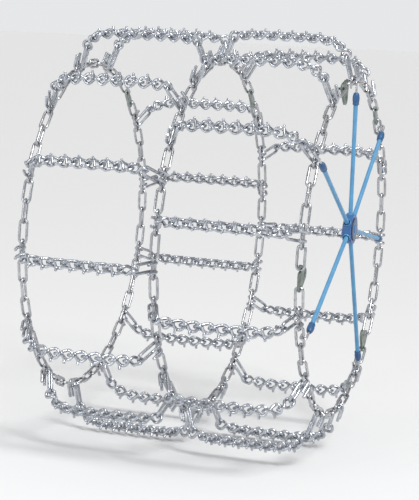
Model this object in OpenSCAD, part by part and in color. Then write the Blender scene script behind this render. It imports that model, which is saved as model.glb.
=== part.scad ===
// Dual tire snow chains: three side chains, two rows of V-bar cross chains with
// double hooks, three tightening cams and a six-armed rubber spider, all shaped
// as they sit on a pair of truck tires. Millimetres. The origin is on the wheel
// axis, midway between the tires. The axis lies along Y and the outer wheel
// faces -Y. Angles round the wheel start at the top and run towards -X.

/* [Side chains] */
// Radius of the outer and inner side chains, on the link centres
rail_radius = 430; // [415:1:440]
// Radius of the centre side chain, on the link centres
centre_radius = 458; // [450:1:465]
// Distance from the centre side chain to each of the other two
rail_offset = 355; // [350:1:360]
// Wire diameter of a side chain link
rail_wire = 7; // [6:0.5:7.5]
// Overall width of a side chain link
rail_width = 26; // [25:0.5:28]

/* [Cross chains] */
// Distance from the centre side chain to the middle plane of each tire
tire_offset = 181; // [178:1:184]
// Radius of the cross chain's middle, where it lies on the tread
tread_path_radius = 530; // [526:1:534]
// Wire diameter of a cross chain link
cross_wire = 8; // [7:0.5:8.5]
// Overall width of a cross chain link before it is twisted
cross_width = 32; // [30:0.5:33]
// Length that each cross chain link adds to the chain
cross_pitch = 36; // [35:0.5:37]
// Thickness of a V-bar
bar_size = 7; // [6:0.5:8]
// Height of the V-bar tips above the link's middle
bar_height = 20; // [16:1:22]

/* [Hooks] */
// Wire diameter of a cross chain hook
hook_wire = 8; // [7:0.5:8]
// Overall width of a cross chain hook
hook_width = 30; // [29:0.5:31]
// Length of the free prongs of a cross chain hook
prong_length = 28; // [20:1:34]

/* [Cams and side chain hooks] */
// Thickness of a cam or a side chain hook
plate_thickness = 6; // [4:0.5:6.5]
// Diameter of the hole in a cam that takes the tightening tool
tool_hole = 11; // [8:0.5:13]

/* [Spider] */
// Height of the hub's centre above the wheel axis
hub_rise = 50; // [40:1:60]
// Diameter of the hub
hub_diameter = 76; // [74:1:80]
// Thickness of the hub
hub_thickness = 22; // [21.5:0.5:24]
// Diameter of a rubber arm
arm_diameter = 12; // [10:0.5:12.5]
// Wire diameter of an arm's hook
arm_hook_wire = 6; // [5:0.5:6]

/* [Hidden] */
CROSS_COUNT = 13;
ARM_LINKS = [0, 8, 17, 32, 40, 47]; // places of the side chain links that hold the arms
CAM_LINKS = [2, 14, 34];            // places that a cam takes in the outer side chain
HOOK_LINK = 48;                     // place that a side chain hook takes in every side chain
GAP_LINK = 50;                      // first cross chain place after the side chain hook

link_count = 54;               // link places round each side chain
link_step = 360 / link_count;  // angle from one link place to the next
rail_gap = 0.8;                // play between two linked side chain links
cross_gap = 1.6;               // play between two linked cross chain links
skin = 0.1;                    // how far a bend stands out of a slanted wire that it holds
stub = 2;                      // straight length between a twisted link's bend and its mitre
lap = 0.02;                    // how far a straight wire runs into the bend it joins
rail_bend = (rail_width - rail_wire) / 2;
cross_bend = (cross_width - cross_wire) / 2;
hook_bend = (hook_width - hook_wire) / 2;
hook_play = 2;                 // play of a cross chain hook round a side chain link
curl_radius = rail_wire / 2 + hook_play + hook_wire / 2;

// The cross chain's links from the middle out to each side, as the slope of each one
outer_slopes = [0, 4, 18, 48];
centre_slopes = [0, 0, 4, 9];
path_shift = 5;                // how far the middle link lies towards the free side
twist = 45;                    // turn of each end of a tread link out of the flat
end_twist = 90;                // turn of a last link's end where the hook goes through

bar_slant = 16;                // the V-bar's angle across the link
bar_half = 9.4;                // half the V-bar's flat middle
bar_reach = 14.5;              // half the span between the V-bar's tips

// Points where the links of half a cross chain meet, as [distance from the middle, radius]
function meet(slopes, shift, n) = n == 0
    ? [shift + cross_pitch / 2, tread_path_radius]
    : meet(slopes, shift, n - 1)
        + cross_pitch * [cos(slopes[n - 1]), -sin(slopes[n - 1])];

function rail_pitch(radius) = 2 * radius * tan(link_step / 2);
function is_flat(k) = k % 2 == 0;

// Where an arm's hook holds the outer side chain: [radius, y]
function arm_seat(k) = is_flat(k)
    ? [rail_radius - rail_bend, -rail_offset]
    : [rail_radius, -rail_offset - rail_bend];
function on_wheel(k, radius) = [-radius * sin(k * link_step), radius * cos(k * link_step)];

// ---- shared shapes ----

// Part of a ring of round wire in the XY plane, between two angles
module wire_arc(bend, wire, from, to) {
    rotate([0, 0, from])
        rotate_extrude(angle = to - from, $fn = 48)
            translate([bend, 0]) circle(d = wire, $fn = 24);
}

// Round bar from point a to point b
module rod(a, b, d) {
    v = b - a;
    translate(a)
        rotate([0, acos(v[2] / norm(v)), atan2(v[1], v[0])])
            cylinder(d = d, h = norm(v), $fn = 24);
}

// Turns a shape so that its Z runs along v
module along(v) {
    rotate([0, acos(v[2] / norm(v)), atan2(v[1], v[0])]) children();
}

// Round bar from point a to point b, where planes through a and b with the
// normals m and n cut both ends off
module mitred_rod(a, b, d, m, n) {
    v = (b - a) / norm(b - a);
    difference() {
        rod(a - 4 * v, b + 4 * v, d);
        translate(a) along(m) translate([-10, -10, -20]) cube(20);
        translate(b) along(n) translate([-10, -10, 0]) cube(20);
    }
}

// Flat bar between two discs in the XZ plane, with straight sides that touch both
module tapered_plate(a, ra, b, rb, t) {
    v = b - a;
    turn = atan2(v[1], v[0]);
    lean = acos((ra - rb) / norm(v));
    function at(c, r, w) = c + r * [cos(turn + w), sin(turn + w)];
    rotate([90, 0, 0]) translate([0, 0, -t / 2]) {
        translate(a) cylinder(r = ra, h = t, $fn = 48);
        translate(b) cylinder(r = rb, h = t, $fn = 48);
        linear_extrude(t)
            polygon([at(a, ra, lean), at(b, rb, lean), at(b, rb, -lean), at(a, ra, -lean)]);
    }
}

module plate_hole(p, r) {
    translate([p[0], 0, p[1]]) rotate([90, 0, 0]) cylinder(r = r, h = 40, center = true, $fn = 48);
}

// ---- side chains ----

// Straight link along X that lies in the XY plane
module straight_link(pitch) {
    straight = (pitch + rail_wire + rail_gap) / 2 - rail_bend;
    for (side = [1, -1]) {
        rotate([0, 0, side > 0 ? 0 : 180]) translate([straight, 0, 0])
            wire_arc(rail_bend, rail_wire, -90, 90);
        rod([-straight - lap, side * rail_bend, 0], [straight + lap, side * rail_bend, 0],
            rail_wire);
    }
}

// Puts a shape at link place k, with X along the chain and Z out from the wheel
module at_link(k, radius, y) {
    rotate([0, -k * link_step, 0]) translate([0, y, radius]) children();
}

module side_chain(radius, y, left_out) {
    for (k = [0:link_count - 1])
        if (len(search(k, left_out)) == 0)
            at_link(k, radius, y)
                rotate([is_flat(k) ? 90 : 0, 0, 0])
                    straight_link(rail_pitch(radius));
}

// ---- cams and side chain hooks: plates that take the place of one flat link ----

eye_radius = rail_wire / 2 + 1.2;
lug_radius = 11.5;

// The way that the held link takes out of the plate's mouth as the plate turns
module mouth(from, to) {
    length = to[0] - from[0];
    translate([from[0], 0, from[1]]) rotate([90, 0, 0]) intersection() {
        difference() {
            cylinder(r = length + eye_radius, h = 40, center = true, $fn = 96);
            cylinder(r = length - eye_radius, h = 41, center = true, $fn = 96);
        }
        translate([0, 0, -20])
            linear_extrude(40) polygon([[0, 0], [2 * length, 0], [2 * length, length]]);
    }
}

module cam(k) {
    reach = rail_pitch(rail_radius) / 2 - (rail_wire + rail_gap) / 2;
    eye = [-reach, 0];
    seat = [reach, 0];
    lobe = [6, -34];
    color("slategray") at_link(k, rail_radius, -rail_offset) difference() {
        union() {
            tapered_plate(eye, lug_radius, seat, lug_radius + 1, plate_thickness);
            tapered_plate(eye, lug_radius, lobe, 16, plate_thickness);
            tapered_plate(seat, lug_radius + 1, lobe, 16, plate_thickness);
        }
        plate_hole(eye, eye_radius);
        plate_hole(seat, eye_radius);
        plate_hole(lobe, tool_hole / 2);
        mouth(eye, seat);
    }
}

module chain_hook(radius, y) {
    reach = rail_pitch(radius) / 2 - (rail_wire + rail_gap) / 2;
    eye = [-reach, 0];
    seat = [reach, 0];
    nose = [reach + 9, 9];
    color("lightgray") at_link(HOOK_LINK, radius, y) difference() {
        union() {
            tapered_plate(eye, lug_radius - 1, [reach - 2, -4], lug_radius + 1, plate_thickness);
            tapered_plate([reach - 2, -4], lug_radius + 1, nose, 4, plate_thickness);
        }
        plate_hole(eye, eye_radius);
        plate_hole(seat, eye_radius);
        mouth(eye, seat);
    }
}

// ---- cross chains ----

// Twisted link along Y. back is the turn of the +Y end and front of the -Y end.
module twisted_link(back, front, barred) {
    straight = (cross_pitch + cross_wire + cross_gap) / 2 - cross_bend;
    mitre = straight - stub;
    module at_end(end) {
        translate([0, end * straight, 0])
            rotate([0, 0, end > 0 ? 0 : 180]) rotate([0, end > 0 ? -back : -front, 0]) children();
    }
    function corner(end, side) = [
        side * cross_bend * cos(end > 0 ? back : front),
        end * mitre,
        side * end * cross_bend * sin(end > 0 ? back : front)
    ];
    for (end = [1, -1]) at_end(end) wire_arc(cross_bend, cross_wire, 0, 180);
    for (side = [1, -1]) {
        a = corner(-1, side);
        b = corner(1, side);
        v = (b - a) / norm(b - a);
        cut = v + [0, 1, 0];
        mitred_rod(a - 0.05 * v, b + 0.05 * v, cross_wire - 2 * skin, cut, cut);
        for (end = [1, -1]) difference() {
            at_end(end) translate([end * side * cross_bend, -2 * stub, 0])
                rotate([-90, 0, 0]) cylinder(d = cross_wire, h = 2 * stub, $fn = 24);
            translate(corner(end, side)) along(end * cut) translate([-10, -10, -20]) cube(20);
        }
    }
    if (barred) v_bar();
}

// Square bar welded slantwise over a link, with both ends bent up into blunt spikes
module v_bar() {
    low = 4;
    high = low + bar_size;
    right = [
        [bar_half + 1, low], [bar_reach + 3, bar_height - 2], [bar_reach + 1.5, bar_height],
        [bar_reach - 2, bar_height], [bar_reach - 3.5, bar_height - 1.5], [bar_half - 1.5, high]
    ];
    left = [for (n = [len(right) - 1:-1:0]) [-right[n][0], right[n][1]]];
    rotate([90, 0, bar_slant])
        linear_extrude(bar_size, center = true) polygon(concat(right, left));
}

// Double hook. The side chain link's wire is at the origin along X, and the wire
// that holds the cross chain crosses Z at the given height. The prongs are at -Y.
module double_hook(height) {
    straight = sqrt(height * height - curl_radius * curl_radius) - hook_bend;
    rotate([asin(curl_radius / height), 0, 0]) {
        for (side = [1, -1]) translate([side * hook_bend, 0, 0]) {
            rotate([90, 0, 90]) wire_arc(curl_radius, hook_wire, 180, 360);
            rod([0, -curl_radius, 0], [0, -curl_radius, prong_length], hook_wire);
            rod([0, curl_radius, 0], [0, curl_radius, straight], hook_wire);
        }
        translate([0, curl_radius, straight])
            rotate([90, 0, 0]) wire_arc(hook_bend, hook_wire, 0, 180);
    }
}

// Half a cross chain, from the first link after the middle out to its hook.
// seat is the held side chain wire as [distance from the tire's middle, radius].
module half_cross(slopes, shift, seat, face) {
    last = len(slopes);
    for (n = [1:last]) {
        a = meet(slopes, shift, n - 1);
        b = meet(slopes, shift, n);
        c = (a + b) / 2;
        translate([0, face * c[0], c[1]])
            rotate([-face * slopes[n - 1], 0, 0])
                twisted_link(
                    n == last && face > 0 ? end_twist : twist,
                    n == last && face < 0 ? end_twist : twist,
                    n < last
                );
    }
    slope = slopes[last - 1];
    ring = meet(slopes, shift, last)
        - (cross_bend - (cross_wire + cross_gap) / 2) * [cos(slope), -sin(slope)];
    slack = cross_bend - (cross_wire + hook_wire) / 2 - 0.8;
    v = ring - seat - slack * (ring - seat) / norm(ring - seat);
    translate([0, face * seat[0], seat[1]])
        rotate([-face * atan2(v[0], v[1]), 0, 0])
            rotate([0, 0, face > 0 ? 180 : 0])
                double_hook(norm(v));
}

// A whole cross chain at the top of the wheel, on a tire centred at y = 0,
// with its free side towards -Y
module cross_chain_shape() {
    translate([0, -path_shift, tread_path_radius]) twisted_link(twist, twist, true);
    half_cross(outer_slopes, path_shift,
        [rail_offset - tire_offset, rail_radius + rail_bend], -1);
    half_cross(centre_slopes, -path_shift,
        [tire_offset, centre_radius + rail_bend], 1);
}

// Link place of cross chain i, where the first one comes just before the top
function cross_place(i, first) = i == 1 ? first + GAP_LINK - link_count : first + 4 * (i - 2);

module outer_cross_chain(i) {
    color("silver")
        rotate([0, -cross_place(i, 0) * link_step, 0])
            translate([0, -tire_offset, 0])
                cross_chain_shape();
}

module inner_cross_chain(i) {
    color("silver")
        rotate([0, -cross_place(i, 2) * link_step, 0])
            translate([0, tire_offset, 0])
                rotate([0, 0, 180])
                    cross_chain_shape();
}

// ---- spider ----

hub_y = -rail_offset - 13;     // middle plane of the hub
hub_wall = 10;                 // wall that the arms pass through
hub_floor = 2.5;
cap_thickness = 2.5;
arm_bore = arm_diameter + 3;
knob_diameter = arm_diameter + 4;
knob_play = 3;                 // room for a knob to follow as the hub is pulled out
arm_curl = rail_wire / 2 + 0.9 + arm_hook_wire / 2;
shank_length = 22;
boot_length = 30;
boot_diameter = 18;

// An arm's own frame: the seat on the side chain is at the origin and the hub
// lies along Z. The arm itself runs at y = -arm_curl.
function seat_point(k) = let(s = arm_seat(k), p = on_wheel(k, s[0])) [p[0], s[1], p[1]];
function arm_vector(k) = [0, hub_y + arm_curl, hub_rise] - seat_point(k);

module at_arm(k) {
    v = arm_vector(k);
    turn = atan2(-v[0], v[2]);
    lean = asin(-v[1] / norm(v));
    translate(seat_point(k)) rotate([0, -turn, 0]) rotate([lean, 0, 0]) children();
}

// Distance from the seat to the knob at the arm's inner end
function knob_distance(k) =
    norm(arm_vector(k)) - (hub_diameter / 2 - hub_wall - knob_play - 1.5);

module spider_arm(k) {
    start = shank_length + boot_length;
    stop = knob_distance(k);
    color("skyblue") at_arm(k) {
        rod([0, -arm_curl, start], [0, -arm_curl, stop], arm_diameter);
        translate([0, -arm_curl, stop]) cylinder(d = knob_diameter, h = 4, $fn = 48);
    }
}

module spider_boot(k) {
    taper = 8;
    color("steelblue") at_arm(k) translate([0, -arm_curl, shank_length]) {
        cylinder(d1 = boot_diameter - 6, d2 = boot_diameter, h = taper, $fn = 48);
        translate([0, 0, taper])
            cylinder(d = boot_diameter, h = boot_length - 2 * taper, $fn = 48);
        translate([0, 0, boot_length - taper])
            cylinder(d1 = boot_diameter, d2 = arm_diameter + 1, h = taper, $fn = 48);
    }
}

module spider_hook(k) {
    tip_length = 12;
    color("silver") at_arm(k) {
        rotate([90, 0, 90]) wire_arc(arm_curl, arm_hook_wire, 180, 360);
        rod([0, -arm_curl, 0], [0, -arm_curl, shank_length], arm_hook_wire);
        rod([0, arm_curl, 0], [0, arm_curl, tip_length], arm_hook_wire);
    }
}

// Hub: a cup that opens towards -Y, with a bore through its wall for each arm
module spider_hub() {
    inside = hub_diameter / 2 - hub_wall;
    depth = hub_thickness - hub_floor;
    color("midnightblue") difference() {
        translate([0, hub_y + hub_thickness / 2, hub_rise])
            rotate([90, 0, 0]) cylinder(d = hub_diameter, h = hub_thickness, $fn = 96);
        translate([0, hub_y + hub_thickness / 2 - hub_floor, hub_rise])
            rotate([90, 0, 0]) cylinder(r = inside, h = depth + 1, $fn = 96);
        for (k = ARM_LINKS)
            at_arm(k)
                translate([0, -arm_curl, norm(arm_vector(k)) - hub_diameter / 2 - 6])
                    cylinder(d = arm_bore, h = hub_wall + 12, $fn = 48);
    }
}

// Cap that closes the hub's cup
module spider_cap() {
    color("royalblue")
        translate([0, hub_y - hub_thickness / 2, hub_rise]) rotate([90, 0, 0]) {
            cylinder(d = hub_diameter - 18, h = cap_thickness, $fn = 96);
            cylinder(d1 = 26, d2 = 20, h = cap_thickness + 2, $fn = 48);
        }
}

// ---- the whole set ----

color("silver") side_chain(rail_radius, -rail_offset, concat(CAM_LINKS, [HOOK_LINK]));  // outer_side_chain
color("silver") side_chain(centre_radius, 0, [HOOK_LINK]);  // centre_side_chain
color("silver") side_chain(rail_radius, rail_offset, [HOOK_LINK]);  // inner_side_chain
chain_hook(rail_radius, -rail_offset);  // outer_chain_hook
chain_hook(centre_radius, 0);  // centre_chain_hook
chain_hook(rail_radius, rail_offset);  // inner_chain_hook
spider_hub();
spider_cap();
for (i = [1:len(CAM_LINKS)])
    cam(CAM_LINKS[i - 1]);
for (i = [1:len(ARM_LINKS)]) {
    spider_arm(ARM_LINKS[i - 1]);
    spider_boot(ARM_LINKS[i - 1]);
    spider_hook(ARM_LINKS[i - 1]);
}
for (i = [1:CROSS_COUNT]) {
    outer_cross_chain(i);
    inner_cross_chain(i);
}
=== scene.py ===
import math

import bmesh
import bpy
import numpy as np
from mathutils import Matrix, Vector


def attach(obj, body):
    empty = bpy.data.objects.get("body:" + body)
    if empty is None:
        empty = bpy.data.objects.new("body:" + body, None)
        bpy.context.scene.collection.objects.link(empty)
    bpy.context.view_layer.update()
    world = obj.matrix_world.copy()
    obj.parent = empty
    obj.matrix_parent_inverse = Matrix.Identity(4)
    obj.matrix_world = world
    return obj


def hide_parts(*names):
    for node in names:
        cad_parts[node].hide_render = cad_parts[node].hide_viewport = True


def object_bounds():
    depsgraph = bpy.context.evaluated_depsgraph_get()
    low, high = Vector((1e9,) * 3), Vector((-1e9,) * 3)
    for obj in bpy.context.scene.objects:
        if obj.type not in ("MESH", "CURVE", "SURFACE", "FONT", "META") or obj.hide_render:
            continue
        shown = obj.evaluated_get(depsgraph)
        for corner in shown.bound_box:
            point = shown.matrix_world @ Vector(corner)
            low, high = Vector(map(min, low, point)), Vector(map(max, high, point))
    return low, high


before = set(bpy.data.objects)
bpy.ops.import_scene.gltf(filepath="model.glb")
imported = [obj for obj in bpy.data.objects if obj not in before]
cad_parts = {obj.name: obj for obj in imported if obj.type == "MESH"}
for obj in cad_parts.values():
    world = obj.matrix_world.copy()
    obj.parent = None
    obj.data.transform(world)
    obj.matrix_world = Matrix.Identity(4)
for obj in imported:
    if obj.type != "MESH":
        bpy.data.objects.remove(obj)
cad_low, cad_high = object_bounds()
scene = bpy.context.scene

# ---- sizes of the chain set, in metres and degrees ----

LINK_COUNT = 54  # link places round each side chain
STEP = 360 / LINK_COUNT  # angle from one link place to the next
CROSS_COUNT, CROSS_STEP = 13, 4  # cross chains in a row, and the link places between two
RAIL_RADIUS, CENTRE_RADIUS, RAIL_OFFSET = 0.430, 0.458, 0.355
RAIL_WIRE, RAIL_BEND, RAIL_GAP = 0.007, 0.0095, 0.0008
WELD_SWELL, WELD_WIDTH = 0.16, 0.0022  # a weld's height as a share of the wire's radius, and its width
TIRE_OFFSET, TREAD_RADIUS, PATH_SHIFT = 0.181, 0.530, 0.005
CROSS_WIRE, CROSS_BEND, CROSS_PITCH, CROSS_GAP = 0.008, 0.012, 0.036, 0.0016
OUTER_SLOPES, CENTRE_SLOPES = (0, 4, 18, 48), (0, 0, 4, 9)
TWIST, END_TWIST, BAR_SLANT = 45, 90, 16
WAIST = 0.2  # share by which a twisted link is narrower halfway along
BAR_RADIUS, BAR_ROUNDING = 0.0034, 0.0018
BEAD_RADIUS, BEAD_SEAT = 0.0052, 0.0095  # a V-bar's weld bead, and its distance from the middle
HOOK_WIRE, HOOK_BEND, CURL, PRONG = 0.008, 0.011, 0.0095, 0.028
HOOK_PLAY = 0.0008  # room between a double hook and the last link
PRONG_ROOT = 0.004  # where a prong's straight part ends above its curl
END_ROUNDING = 0.0012  # rounded edge of a hook's cut ends
CAM_LINKS, HOOK_LINK, ARM_LINKS = (2, 14, 34), 48, (0, 8, 17, 32, 40, 47)
HUB_Y, HUB_RISE, HUB_RADIUS = -0.368, 0.050, 0.038
HUB_WALL = 0.010
KNOB_PLAY, KNOB_GAP = 0.003, 0.0015  # together, a knob's distance from the hub's wall at rest
CAP_SPREAD = 0.035  # radius that the cap's colours are spread over
ARM_CURL, ARM_WIRE, ARM_RADIUS = 0.0074, 0.006, 0.006
ARM_THINNING, ARM_TAPER = 0.0006, 0.05  # how much thinner an arm is, and how far from its ends
SHANK, BOOT = 0.022, 0.030
BOOT_DEPTH = 0.004  # how far the hook's wire and the arm run into a boot
PLATE_EDGE, HUB_EDGE, CAP_EDGE = 0.0009, 0.0014, 0.0007  # bevels
FLOOR_HALF, FLOOR_GAP = 60, 0.002

# ---- materials ----


def new_material(name):
    m = bpy.data.materials.new(name)
    m.use_nodes = True
    t = m.node_tree
    return m, t, t.nodes["Principled BSDF"]


def noise(t, scale, detail):
    co = t.nodes.new("ShaderNodeTexCoord")
    n = t.nodes.new("ShaderNodeTexNoise")
    n.inputs["Scale"].default_value = scale
    n.inputs["Detail"].default_value = detail
    n.inputs["Roughness"].default_value = 0.55
    t.links.new(co.outputs["Object"], n.inputs["Vector"])
    return n


def ramp(t, source, low, high, a=0.3, b=0.7):
    r = t.nodes.new("ShaderNodeValToRGB")
    r.color_ramp.elements[0].position = a
    r.color_ramp.elements[1].position = b
    r.color_ramp.elements[0].color = (*low, 1)
    r.color_ramp.elements[1].color = (*high, 1)
    t.links.new(source, r.inputs["Fac"])
    return r.outputs["Color"]


def span(t, source, low, high):
    r = t.nodes.new("ShaderNodeMapRange")
    r.inputs["From Min"].default_value = 0.3
    r.inputs["From Max"].default_value = 0.7
    r.inputs["To Min"].default_value = low
    r.inputs["To Max"].default_value = high
    t.links.new(source, r.inputs["Value"])
    return r.outputs["Result"]


def bump(t, bsdf, source, strength, distance):
    b = t.nodes.new("ShaderNodeBump")
    b.inputs["Strength"].default_value = strength
    b.inputs["Distance"].default_value = distance
    t.links.new(source, b.inputs["Height"])
    t.links.new(b.outputs["Normal"], bsdf.inputs["Normal"])


def plated(name, colour, dark, rough):
    """Zinc plated steel: a bright metal with duller, slightly darker patches."""
    m, t, p = new_material(name)
    p.inputs["Metallic"].default_value = 1.0
    patches = noise(t, 55, 3)
    t.links.new(ramp(t, patches.outputs["Fac"], dark, colour), p.inputs["Base Color"])
    t.links.new(span(t, patches.outputs["Fac"], rough + 0.12, rough), p.inputs["Roughness"])
    grain = noise(t, 420, 3)
    bump(t, p, grain.outputs["Fac"], 0.25, 0.0004)
    return m


def rubber(name, colour, dark, rough, coat):
    """Smooth rubber under a thin coat, with a little dust and a fine grain."""
    m, t, p = new_material(name)
    p.inputs["Metallic"].default_value = 0.0
    p.inputs["Coat Weight"].default_value = coat
    p.inputs["Coat Roughness"].default_value = 0.3
    dust = noise(t, 30, 5)
    t.links.new(ramp(t, dust.outputs["Fac"], dark, colour), p.inputs["Base Color"])
    t.links.new(span(t, dust.outputs["Fac"], rough + 0.1, rough), p.inputs["Roughness"])
    grain = noise(t, 900, 2)
    bump(t, p, grain.outputs["Fac"], 0.15, 0.0002)
    return m


def cap_rubber(name, centre, rim):
    """Moulded rubber disc, mid blue in the middle and nearly black towards its rim."""
    m, t, p = new_material(name)
    p.inputs["Metallic"].default_value = 0.0
    p.inputs["Roughness"].default_value = 0.36
    p.inputs["Coat Weight"].default_value = 0.2
    p.inputs["Coat Roughness"].default_value = 0.3
    co = t.nodes.new("ShaderNodeTexCoord")
    flat = t.nodes.new("ShaderNodeVectorMath")
    flat.operation = "MULTIPLY_ADD"
    flat.inputs[1].default_value = (1, 0, 1)
    flat.inputs[2].default_value = (0, 0, -HUB_RISE)
    t.links.new(co.outputs["Object"], flat.inputs[0])
    radius = t.nodes.new("ShaderNodeVectorMath")
    radius.operation = "LENGTH"
    t.links.new(flat.outputs["Vector"], radius.inputs[0])
    spread = t.nodes.new("ShaderNodeMath")
    spread.operation = "MULTIPLY"
    spread.inputs[1].default_value = 1 / CAP_SPREAD
    t.links.new(radius.outputs["Value"], spread.inputs[0])
    colour = ramp(t, spread.outputs["Value"], centre, rim, 0.35, 0.85)
    t.links.new(colour, p.inputs["Base Color"])
    grain = noise(t, 900, 2)
    bump(t, p, grain.outputs["Fac"], 0.15, 0.0002)
    return m


MATERIALS = {
    "side_chain_steel": plated("side_chain_steel", (0.58, 0.59, 0.61), (0.36, 0.37, 0.39), 0.21),
    "cross_chain_steel": plated("cross_chain_steel", (0.62, 0.64, 0.68), (0.38, 0.40, 0.44), 0.19),
    "plate_hook_steel": plated("plate_hook_steel", (0.38, 0.42, 0.40), (0.20, 0.24, 0.23), 0.28),
    "cam_steel": plated("cam_steel", (0.30, 0.34, 0.31), (0.16, 0.19, 0.17), 0.34),
    "arm_hook_steel": plated("arm_hook_steel", (0.66, 0.67, 0.68), (0.46, 0.47, 0.48), 0.18),
    "hub_rubber": rubber("hub_rubber", (0.030, 0.13, 0.36), (0.018, 0.085, 0.26), 0.34, 0.25),
    "cap_rubber": cap_rubber("cap_rubber", (0.045, 0.14, 0.33), (0.012, 0.028, 0.062)),
    "arm_rubber": rubber("arm_rubber", (0.105, 0.33, 0.56), (0.065, 0.24, 0.44), 0.36, 0.2),
    "boot_rubber": rubber("boot_rubber", (0.030, 0.13, 0.31), (0.014, 0.072, 0.19), 0.32, 0.25),
}

# ---- mesh helpers ----


def turn(axis, degrees):
    return Matrix.Rotation(math.radians(degrees), 4, axis)


def move(x, y, z):
    return Matrix.Translation((x, y, z))


def tube(path, radius, closed=False, sides=14):
    """Round wire along a path. radius is one size or one for each point."""
    p = np.array(path, float)
    n = len(p)
    r = np.full(n, radius) if np.isscalar(radius) else np.array(radius, float)
    if closed:
        tangent = np.roll(p, -1, 0) - np.roll(p, 1, 0)
    else:
        tangent = np.gradient(p, axis=0)
    tangent /= np.linalg.norm(tangent, axis=1)[:, None]
    normal = np.zeros_like(p)
    start = np.array([0.0, 0.0, 1.0]) if abs(tangent[0][2]) < 0.8 else np.array([1.0, 0.0, 0.0])
    start -= tangent[0] * start.dot(tangent[0])
    normal[0] = start / np.linalg.norm(start)
    for i in range(1, n):
        v = normal[i - 1] - tangent[i] * normal[i - 1].dot(tangent[i])
        normal[i] = v / np.linalg.norm(v)
    extra = np.zeros(n)
    if closed:
        v = normal[-1] - tangent[0] * normal[-1].dot(tangent[0])
        v /= np.linalg.norm(v)
        slip = math.atan2(np.cross(v, normal[0]).dot(tangent[0]), v.dot(normal[0]))
        extra = slip * np.arange(n) / n
    verts, faces = [], []
    for i in range(n):
        side = np.cross(tangent[i], normal[i])
        for k in range(sides):
            a = 2 * math.pi * k / sides + extra[i]
            verts.append(p[i] + r[i] * (math.cos(a) * normal[i] + math.sin(a) * side))
    for i in range(n if closed else n - 1):
        j = (i + 1) % n
        for k in range(sides):
            m = (k + 1) % sides
            faces.append((i * sides + k, i * sides + m, j * sides + m, j * sides + k))
    if not closed:
        faces.append(tuple(range(sides - 1, -1, -1)))
        faces.append(tuple((n - 1) * sides + k for k in range(sides)))
    return verts, faces


def blunt_ends(path, radius, round_off):
    """Adds a rounded edge to both ends of an open path: returns the path and its radii."""
    p = [np.array(q, float) for q in path]
    head, tail = [], []
    a = (p[0] - p[1]) / np.linalg.norm(p[0] - p[1])
    b = (p[-1] - p[-2]) / np.linalg.norm(p[-1] - p[-2])
    for q in (0.0, 30.0, 60.0, 88.0):
        s, c = math.sin(math.radians(q)), math.cos(math.radians(q))
        head.append((p[0] - a * round_off * (1 - s), radius - round_off * (1 - c)))
        tail.append((p[-1] - b * round_off * (1 - s), radius - round_off * (1 - c)))
    inner = [(q, radius) for q in p[1:-1]]
    both = head[::-1] + inner + tail
    return [q for q, _ in both], [w for _, w in both]


def arc(centre, u, v, radius, start, stop, count):
    """Points round a centre: u and v are the directions at 0 and 90 degrees."""
    c, u, v = np.array(centre, float), np.array(u, float), np.array(v, float)
    return [
        c + radius * (math.cos(math.radians(a)) * u + math.sin(math.radians(a)) * v)
        for a in np.linspace(start, stop, count)
    ]


def turned(profile, segments):
    """Points of a (radius, height) profile turned about Z, one round after another."""
    angles = [2 * math.pi * k / segments for k in range(segments)]
    return [(r * math.cos(a), r * math.sin(a), z) for r, z in profile for a in angles]


def lathe(profile, segments):
    """Turned shape about Z from (radius, height) pairs; the ends are closed."""
    faces = []
    for i in range(len(profile) - 1):
        a, b = i * segments, (i + 1) * segments
        for k in range(segments):
            m = (k + 1) % segments
            faces.append((a + k, a + m, b + m, b + k))
    faces.append(tuple(range(segments - 1, -1, -1)))
    faces.append(tuple((len(profile) - 1) * segments + k for k in range(segments)))
    return turned(profile, segments), faces


def band(profile, segments):
    """Closed ring about Z, whose section is the closed (radius, height) profile."""
    faces = []
    for i in range(len(profile)):
        a, b = i * segments, (i + 1) % len(profile) * segments
        for k in range(segments):
            m = (k + 1) % segments
            faces.append((b + k, b + m, a + m, a + k))
    return turned(profile, segments), faces


def placed(shape, matrix):
    verts, faces = shape
    m = np.array(matrix)
    v = np.array(verts, float) @ m[:3, :3].T + m[:3, 3]
    return v, faces


def joined(shapes):
    verts, faces, base = [], [], 0
    for v, f in shapes:
        verts.extend(map(tuple, v))
        faces.extend(tuple(i + base for i in q) for q in f)
        base += len(v)
    return verts, faces


def mesh_of(name, shape):
    verts, faces = shape
    me = bpy.data.meshes.new(name)
    me.from_pydata([tuple(map(float, v)) for v in verts], [], faces)
    me.update()
    bm = bmesh.new()
    bm.from_mesh(me)
    bmesh.ops.recalc_face_normals(bm, faces=bm.faces)
    bm.to_mesh(me)
    bm.free()
    me.polygons.foreach_set("use_smooth", [len(p.vertices) == 4 for p in me.polygons])
    return me


def piece(name, mesh, slot, body, nodes=(), matrix=None):
    o = bpy.data.objects.new(name, mesh)
    scene.collection.objects.link(o)
    if matrix is not None:
        o.matrix_world = matrix
    if not mesh.materials:
        mesh.materials.append(MATERIALS[slot])
    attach(o, body)
    if nodes:
        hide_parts(*nodes)
    return o


# ---- wire shapes ----


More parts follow.
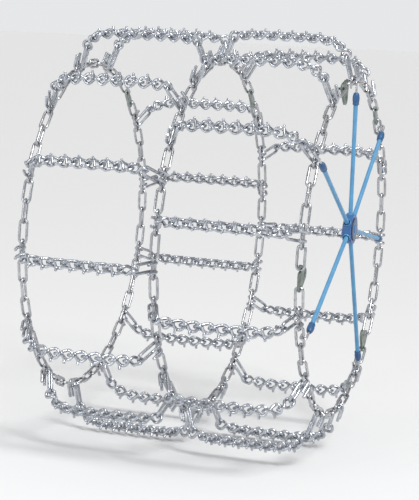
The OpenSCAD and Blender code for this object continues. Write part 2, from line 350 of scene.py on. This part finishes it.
def straight_link(pitch):
    """Welded side chain link along X in the XY plane, with a weld seam on one side."""
    s = (pitch + RAIL_WIRE + RAIL_GAP) / 2 - RAIL_BEND
    path, radii = [], []
    for q in arc((s, 0, 0), (1, 0, 0), (0, 1, 0), RAIL_BEND, -90, 90, 13):
        path.append(q)
        radii.append(RAIL_WIRE / 2)
    for x in np.linspace(s, -s, 15)[1:-1]:
        path.append(np.array((x, RAIL_BEND, 0)))
        radii.append(RAIL_WIRE / 2 * (1 + WELD_SWELL * math.exp(-((x / WELD_WIDTH) ** 2))))
    for q in arc((-s, 0, 0), (1, 0, 0), (0, 1, 0), RAIL_BEND, 90, 270, 13):
        path.append(q)
        radii.append(RAIL_WIRE / 2)
    return tube(path, radii, closed=True, sides=12)


def twisted_link(back, front):
    """Twisted link along Y. The legs run as a spiral from one turned end to the other."""
    s = (CROSS_PITCH + CROSS_WIRE + CROSS_GAP) / 2 - CROSS_BEND
    flat = []
    for q in arc((0, s), (1, 0), (0, 1), CROSS_BEND, 0, 180, 13):
        flat.append(q)
    for y in np.linspace(s, -s, 9)[1:-1]:
        flat.append(np.array((-CROSS_BEND, y)))
    for q in arc((0, -s), (1, 0), (0, 1), CROSS_BEND, 180, 360, 13):
        flat.append(q)
    for y in np.linspace(-s, s, 9)[1:-1]:
        flat.append(np.array((CROSS_BEND, y)))
    path = []
    for x, y in flat:
        t = min(max((y + s) / (2 * s), 0), 1)
        a = math.radians(-front + (back + front) * t * t * (3 - 2 * t))
        waist = 1 - WAIST * max(0.0, 1 - (y / s) ** 2)
        path.append((x * waist * math.cos(a), y, x * waist * math.sin(a)))
    return tube(path, CROSS_WIRE / 2, closed=True, sides=12)


def v_bar():
    """Bar across a link with both ends bent up, and a weld where it crosses each leg."""
    low, high = 0.0078, 0.0168  # heights of the flat middle and of the tips
    half, reach = 0.0092, 0.0148  # half the flat middle, and half the span of the tips
    right = [(half - 0.003, low), (half, low + 0.0006), (half + 0.002, low + 0.0028)]
    right += [((half + 0.002) * (1 - t) + reach * t, (low + 0.0028) * (1 - t) + high * t)
              for t in (0.35, 0.7, 1.0)]
    left = [(-x, z) for x, z in right[::-1]]
    path, radii = blunt_ends([(x, 0, z) for x, z in left + right], BAR_RADIUS, BAR_ROUNDING)
    shapes = [tube(path, radii, sides=12)]
    bead = []
    for degrees in (8, 30, 55, 90, 125, 150, 172):
        a = math.radians(degrees)
        bead.append((BEAD_RADIUS * math.sin(a), -BEAD_RADIUS * math.cos(a)))
    for side in (1, -1):
        at = move(side * BEAD_SEAT, 0, BEAD_RADIUS) @ turn("Y", 90)
        shapes.append(placed(lathe(bead, 12), at))
    return placed(joined(shapes), turn("Z", BAR_SLANT))


def double_hook(height):
    """One bent wire: prong, curl, leg, bend, leg, curl, prong."""
    top = math.sqrt(height * height - CURL * CURL) - HOOK_BEND
    h = HOOK_BEND
    path = [(h, -CURL, z) for z in np.linspace(PRONG, PRONG_ROOT, 5)]
    path += arc((h, 0, 0), (0, 1, 0), (0, 0, 1), CURL, 180, 360, 15)
    path += [(h, CURL, z) for z in np.linspace(0, top, 7)[1:-1]]
    path += arc((0, CURL, top), (1, 0, 0), (0, 0, 1), h, 0, 180, 15)
    path += [(-h, CURL, z) for z in np.linspace(top, 0, 7)[1:-1]]
    path += arc((-h, 0, 0), (0, 1, 0), (0, 0, 1), CURL, 360, 180, 15)
    path += [(-h, -CURL, z) for z in np.linspace(PRONG_ROOT, PRONG, 5)]
    points, radii = blunt_ends(path, HOOK_WIRE / 2, END_ROUNDING)
    lean = math.degrees(math.asin(CURL / height))
    return placed(tube(points, radii, sides=14), turn("X", lean))


def direction(slope):
    """Unit step (sideways, outwards) along a link that falls by slope degrees."""
    a = math.radians(slope)
    return np.array((math.cos(a), -math.sin(a)))


def half_cross(slopes, shift, seat, face):
    """Links and V-bars from the middle to one side, and the double hook to its seat there."""
    shapes = []
    a = np.array((shift + CROSS_PITCH / 2, TREAD_RADIUS))
    for n, slope in enumerate(slopes):
        b = a + CROSS_PITCH * direction(slope)
        c = (a + b) / 2
        at = move(0, face * c[0], c[1]) @ turn("X", -face * slope)
        last = n == len(slopes) - 1
        link = twisted_link(
            END_TWIST if last and face > 0 else TWIST, END_TWIST if last and face < 0 else TWIST
        )
        shapes.append(placed(link, at))
        if not last:
            shapes.append(placed(v_bar(), at))
        a = b
    ring = a - (CROSS_BEND - (CROSS_WIRE + CROSS_GAP) / 2) * direction(slopes[-1])
    slack = CROSS_BEND - (CROSS_WIRE + HOOK_WIRE) / 2 - HOOK_PLAY
    v = ring - seat
    length = np.linalg.norm(v)
    v = v * (length - slack) / length
    at = (
        move(0, face * seat[0], seat[1])
        @ turn("X", -face * math.degrees(math.atan2(v[0], v[1])))
        @ turn("Z", 180 if face > 0 else 0)
    )
    shapes.append(placed(double_hook(np.linalg.norm(v)), at))
    return shapes


def cross_chain():
    middle = move(0, -PATH_SHIFT, TREAD_RADIUS)
    shapes = [placed(twisted_link(TWIST, TWIST), middle), placed(v_bar(), middle)]
    seat = np.array((RAIL_OFFSET - TIRE_OFFSET, RAIL_RADIUS + RAIL_BEND))
    shapes += half_cross(OUTER_SLOPES, PATH_SHIFT, seat, -1)
    seat = np.array((TIRE_OFFSET, CENTRE_RADIUS + RAIL_BEND))
    shapes += half_cross(CENTRE_SLOPES, -PATH_SHIFT, seat, 1)
    return joined(shapes)


def wheel(place):
    """Turn about the wheel axis to a link place."""
    return turn("Y", -place * STEP)


# ---- cross chains ----

shape = cross_chain()
outer_mesh = mesh_of("outer_cross_chain", placed(shape, move(0, -TIRE_OFFSET, 0)))
inner_mesh = mesh_of("inner_cross_chain", placed(shape, move(0, TIRE_OFFSET, 0) @ turn("Z", 180)))
for i in range(1, CROSS_COUNT + 1):
    for row, me, first in (("outer", outer_mesh, -4), ("inner", inner_mesh, -2)):
        node = f"{row}_cross_chain_{i}"
        at = wheel(first + CROSS_STEP * (i - 1))
        piece(f"{node}_look", me, "cross_chain_steel", node, [node], at)

# ---- side chains ----


def side_chain(radius, y, left_out):
    """Ring of links, without those whose place a plate takes."""
    link = straight_link(2 * radius * math.tan(math.radians(STEP / 2)))
    shapes = []
    for k in range(LINK_COUNT):
        if k not in left_out:
            at = wheel(k) @ move(0, y, radius) @ turn("X", 90 if k % 2 == 0 else 0)
            shapes.append(placed(link, at))
    return joined(shapes)


for name, radius, y, out in (
    ("outer", RAIL_RADIUS, -RAIL_OFFSET, (*CAM_LINKS, HOOK_LINK)),
    ("centre", CENTRE_RADIUS, 0, (HOOK_LINK,)),
    ("inner", RAIL_RADIUS, RAIL_OFFSET, (HOOK_LINK,)),
):
    node = f"{name}_side_chain"
    me = mesh_of(node, side_chain(radius, y, out))
    piece(f"{node}_look", me, "side_chain_steel", "side_chains", [node])

# ---- plates ----


def softened(node, width, slot, body, segments=2):
    """The CAD node's own shape with its sharp edges bevelled."""
    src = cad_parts[node]
    bm = bmesh.new()
    bm.from_mesh(src.data)
    bmesh.ops.remove_doubles(bm, verts=bm.verts, dist=1e-6)
    bmesh.ops.dissolve_limit(
        bm, angle_limit=math.radians(1), verts=bm.verts, edges=bm.edges, delimit=set()
    )
    sharp = [
        e for e in bm.edges if len(e.link_faces) == 2 and e.calc_face_angle(0) > math.radians(50)
    ]
    bmesh.ops.bevel(
        bm, geom=sharp, offset=width, segments=segments, profile=0.5, affect="EDGES",
        clamp_overlap=True,
    )
    me = bpy.data.meshes.new(f"{node}_look")
    bm.to_mesh(me)
    bm.free()
    me.polygons.foreach_set("use_smooth", [True] * len(me.polygons))
    me.set_sharp_from_angle(angle=math.radians(40))
    return piece(f"{node}_look", me, slot, body, [node])


for i in (1, 2, 3):
    softened(f"cam_{i}", PLATE_EDGE, "cam_steel", f"cam_{i}")
for name in ("outer", "centre", "inner"):
    softened(f"{name}_chain_hook", PLATE_EDGE, "plate_hook_steel", f"{name}_chain_hook")

# ---- spider ----


def arm_frame(k):
    """Seat on the side chain at the origin, with the hub along Z."""
    a = math.radians(k * STEP)
    r, y = (
        (RAIL_RADIUS - RAIL_BEND, -RAIL_OFFSET)
        if k % 2 == 0
        else (RAIL_RADIUS, -RAIL_OFFSET - RAIL_BEND)
    )
    seat = Vector((-r * math.sin(a), y, r * math.cos(a)))
    v = Vector((0, HUB_Y + ARM_CURL, HUB_RISE)) - seat
    at = (
        Matrix.Translation(seat)
        @ turn("Y", -math.degrees(math.atan2(-v.x, v.z)))
        @ turn("X", math.degrees(math.asin(-v.y / v.length)))
    )
    return at, v.length


def smooth_profile(points, reach=0.35, count=6):
    """Rounds the corners of a (radius, height) profile; reach is the share of each side used."""
    out = []
    for i, (r, z) in enumerate(points):
        if i in (0, len(points) - 1):
            out.append((r, z))
            continue
        (ra, za), (rb, zb) = points[i - 1], points[i + 1]
        for t in np.linspace(0, 1, count):
            a = (r + (ra - r) * reach * (1 - t), z + (za - z) * reach * (1 - t))
            b = (r + (rb - r) * reach * t, z + (zb - z) * reach * t)
            out.append((a[0] * (1 - t) + b[0] * t, a[1] * (1 - t) + b[1] * t))
    return out


boot_profile = smooth_profile(
    [
        (0.0034, -0.001), (0.0062, 0.0), (0.0084, 0.006), (0.0092, 0.013), (0.0090, 0.020),
        (0.0080, 0.0245), (0.0080, 0.0262), (0.0086, 0.0275), (0.0084, 0.0300), (0.0062, 0.0308),
    ]
)
for i, k in enumerate(ARM_LINKS, 1):
    at, length = arm_frame(k)
    body = f"spider_arm_{i}"
    stop = length - (HUB_RADIUS - HUB_WALL - KNOB_PLAY - KNOB_GAP)
    start = SHANK + BOOT - BOOT_DEPTH
    cord_path = [(0, -ARM_CURL, z) for z in np.linspace(start, stop, 30)]
    # stretched rubber: full size at both ends and thinner in between
    swell = [
        ARM_RADIUS - ARM_THINNING * min(1, (q[2] - start) / ARM_TAPER, (stop - q[2]) / ARM_TAPER)
        for q in cord_path
    ]
    knob = lathe(
        smooth_profile([(0.0058, -0.001), (0.0079, 0.0), (0.0079, 0.0040), (0.0060, 0.0041)]), 32
    )
    shapes = [tube(cord_path, swell, sides=20), placed(knob, move(0, -ARM_CURL, stop))]
    piece(
        f"spider_arm_{i}_look", mesh_of(f"spider_arm_{i}", joined(shapes)), "arm_rubber", body,
        [f"spider_arm_{i}"], at,
    )
    boot = placed(lathe(boot_profile, 32), move(0, -ARM_CURL, SHANK))
    piece(
        f"spider_boot_{i}_look", mesh_of(f"spider_boot_{i}", boot), "boot_rubber", body,
        [f"spider_boot_{i}"], at,
    )
    wire = [(0, -ARM_CURL, z) for z in np.linspace(SHANK + BOOT_DEPTH, 0, 8)]
    wire += arc((0, 0, 0), (0, 1, 0), (0, 0, 1), ARM_CURL, 180, 360, 15)[1:]
    wire += [(0, ARM_CURL, z) for z in (0.004, 0.008, 0.012)]
    points, radii = blunt_ends(wire, ARM_WIRE / 2, END_ROUNDING)
    piece(
        f"spider_hook_{i}_look", mesh_of(f"spider_hook_{i}", tube(points, radii, sides=14)),
        "arm_hook_steel", body, [f"spider_hook_{i}"], at,
    )

# a raised ring round each hole that an arm passes through, moulded on the hub's rim
rim = smooth_profile(
    [
        (0.0077, -0.0030), (0.0077, 0.0014), (0.0085, 0.0026), (0.0095, 0.0024),
        (0.0101, 0.0008), (0.0101, -0.0030),
    ]
)
rings = []
for k in ARM_LINKS:
    at, length = arm_frame(k)
    rings.append(placed(
        band(rim, 40), at @ move(0, -ARM_CURL, length - HUB_RADIUS) @ turn("X", 180)
    ))
piece(
    "spider_hub_rings", mesh_of("spider_hub_rings", joined(rings)), "arm_rubber", "spider_centre"
)

softened("spider_hub", HUB_EDGE, "hub_rubber", "spider_centre", 3)
softened("spider_cap", CAP_EDGE, "cap_rubber", "spider_centre")

# ---- floor, light and camera ----

floor_z = cad_low.z - FLOOR_GAP
corners = ((-1, -1), (1, -1), (1, 1), (-1, 1))
floor_mesh = bpy.data.meshes.new("floor")
floor_mesh.from_pydata(
    [(x * FLOOR_HALF, y * FLOOR_HALF, floor_z) for x, y in corners], [], [(0, 1, 2, 3)]
)
floor = bpy.data.objects.new("floor", floor_mesh)
scene.collection.objects.link(floor)
floor_material, _, shader = new_material("floor")
shader.inputs["Base Color"].default_value = (0.80, 0.80, 0.80, 1)
shader.inputs["Roughness"].default_value = 0.9
shader.inputs["Specular IOR Level"].default_value = 0.2
floor_mesh.materials.append(floor_material)

world = bpy.data.worlds.new("studio")
world.use_nodes = True
sky = world.node_tree
sky_co = sky.nodes.new("ShaderNodeTexCoord")
sky_split = sky.nodes.new("ShaderNodeSeparateXYZ")
sky_ramp = sky.nodes.new("ShaderNodeValToRGB")
sky.links.new(sky_co.outputs["Generated"], sky_split.inputs["Vector"])
sky.links.new(sky_split.outputs["Z"], sky_ramp.inputs["Fac"])
sky.links.new(sky_ramp.outputs["Color"], sky.nodes["Background"].inputs["Color"])
# bright at the horizon and white at the top, with a dark band between for the metal to mirror
sky_stops = sky_ramp.color_ramp.elements
for position in (0.2, 0.42):
    sky_stops.new(position)
for stop, grey in zip(sky_stops, (0.81, 0.72, 0.14)):
    stop.color = (grey * 0.98, grey * 0.99, grey, 1)
sky_stops[3].color = (1, 1, 1, 1)
sky.nodes["Background"].inputs["Strength"].default_value = 1.0
scene.world = world


def light(name, place, target, size, power, colour=(1, 1, 1)):
    data = bpy.data.lights.new(name, "AREA")
    data.shape = "RECTANGLE"
    data.size, data.size_y = size
    data.energy = power
    data.color = colour
    o = bpy.data.objects.new(name, data)
    scene.collection.objects.link(o)
    o.location = place
    o.rotation_mode = "QUATERNION"
    o.rotation_quaternion = (Vector(target) - Vector(place)).to_track_quat("-Z", "Y")


light("key", (-2.2, -3.0, 3.2), (0, 0, 0), (0.7, 0.7), 52)
light("fill", (-3.6, 1.6, 1.4), (0, 0, 0), (0.5, 2.2), 30, (0.9, 0.95, 1.0))
sun_data = bpy.data.lights.new("sun", "SUN")
sun_data.energy = 1.5
sun_data.angle = math.radians(20)
sun = bpy.data.objects.new("sun", sun_data)
scene.collection.objects.link(sun)
sun.rotation_euler = (math.radians(28), math.radians(-24), 0)

# the camera looks along forward; roll turns the level frame about that line
yaw, pitch, roll = math.radians(-17.5), math.radians(7.86), math.radians(3.0)
forward = Vector(
    (math.cos(yaw) * math.cos(pitch), -math.sin(yaw) * math.cos(pitch), -math.sin(pitch))
)
level_right = forward.cross(Vector((0, 0, 1))).normalized()
level_up = level_right.cross(forward)
right = level_right * math.cos(roll) + level_up * math.sin(roll)
up = level_up * math.cos(roll) - level_right * math.sin(roll)
camera_data = bpy.data.cameras.new("camera")
camera_data.lens = 131.0
camera_data.sensor_width = 36
camera_data.clip_end = 50
camera = bpy.data.objects.new("camera", camera_data)
scene.collection.objects.link(camera)
axes = Matrix((right, up, -forward)).transposed().to_4x4()
camera.matrix_world = move(-4.534, -1.423, 0.617) @ axes
scene.camera = camera
scene.view_settings.view_transform = "Standard"
